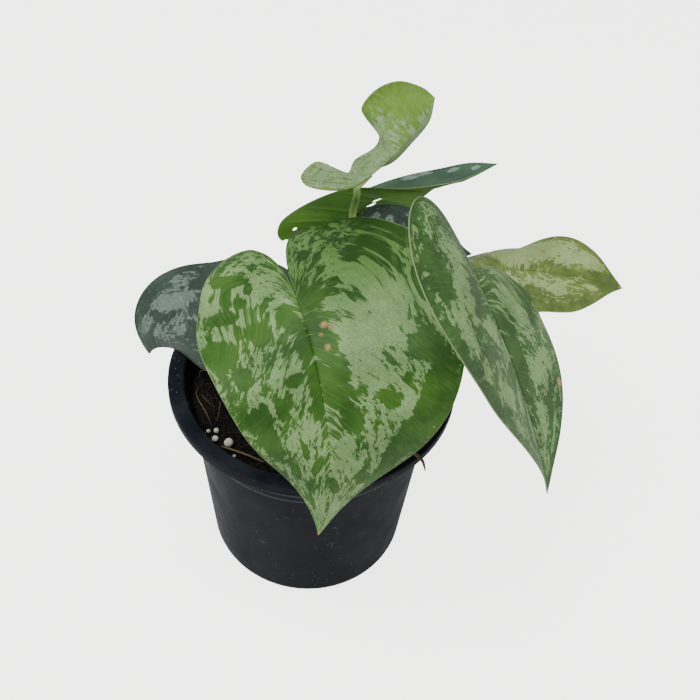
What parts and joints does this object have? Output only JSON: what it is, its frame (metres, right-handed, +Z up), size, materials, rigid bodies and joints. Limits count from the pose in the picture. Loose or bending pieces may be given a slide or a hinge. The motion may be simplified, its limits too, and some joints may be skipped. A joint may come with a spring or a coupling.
{
  "type": "potted pothos plant",
  "caption": "Satin pothos with heart-shaped silver-patched leaves on two rooted vine cuttings, growing in a round black nursery pot of coco soil.",
  "frame": {"origin": "centre of the pot's flat underside, on the surface it stands on", "axes": "+Z up along the pot's axis; -Y towards the front leaf; +X towards the far right leaf"},
  "size_m": [0.2214, 0.1704, 0.2232],
  "materials": {
    "black_plastic": "satin moulded plastic, faint scuffs",
    "soil": "loose dark coco and peat",
    "stem": "smooth green stem",
    "petiole": "smooth pale green leaf stalk",
    "root": "matte root",
    "prill": "matte white grain",
    "dry_fibre": "dry fibre",
    "leaf_front": "satin leaf, green with silver patches",
    "leaf_right": "satin leaf, green with silver patches",
    "leaf_left": "satin leaf, blue-green with silver patches",
    "leaf_far_right": "satin leaf, yellow-green with silver patches",
    "leaf_back_low": "satin leaf, dark green",
    "leaf_back_long": "satin leaf, dark green with silver patches",
    "leaf_top": "satin young leaf, pale green"
  },
  "bodies": {
    "root": {"pot": "black_plastic", "soil": "soil", "stem_main": "stem", "stem_right": "stem", "roots_main": "root", "roots_right": "root", "petiole_front": "petiole", "leaf_front": "leaf_front", "petiole_right": "petiole", "leaf_right": "leaf_right", "petiole_left": "petiole", "leaf_left": "leaf_left", "petiole_far_right": "petiole", "leaf_far_right": "leaf_far_right", "petiole_back_low": "petiole", "leaf_back_low": "leaf_back_low", "petiole_back_long": "petiole", "leaf_back_long": "leaf_back_long", "petiole_top": "petiole", "leaf_top": "leaf_top", "prill_1": "prill", "prill_2": "prill", "prill_3": "prill", "prill_4": "prill", "prill_5": "prill", "straw": "dry_fibre", "fibre_long": "dry_fibre", "fibre_short": "dry_fibre", "fibre_inner": "dry_fibre", "fibre_loop": "dry_fibre", "dry_root_right": "dry_fibre"}
  },
  "joints": []
}
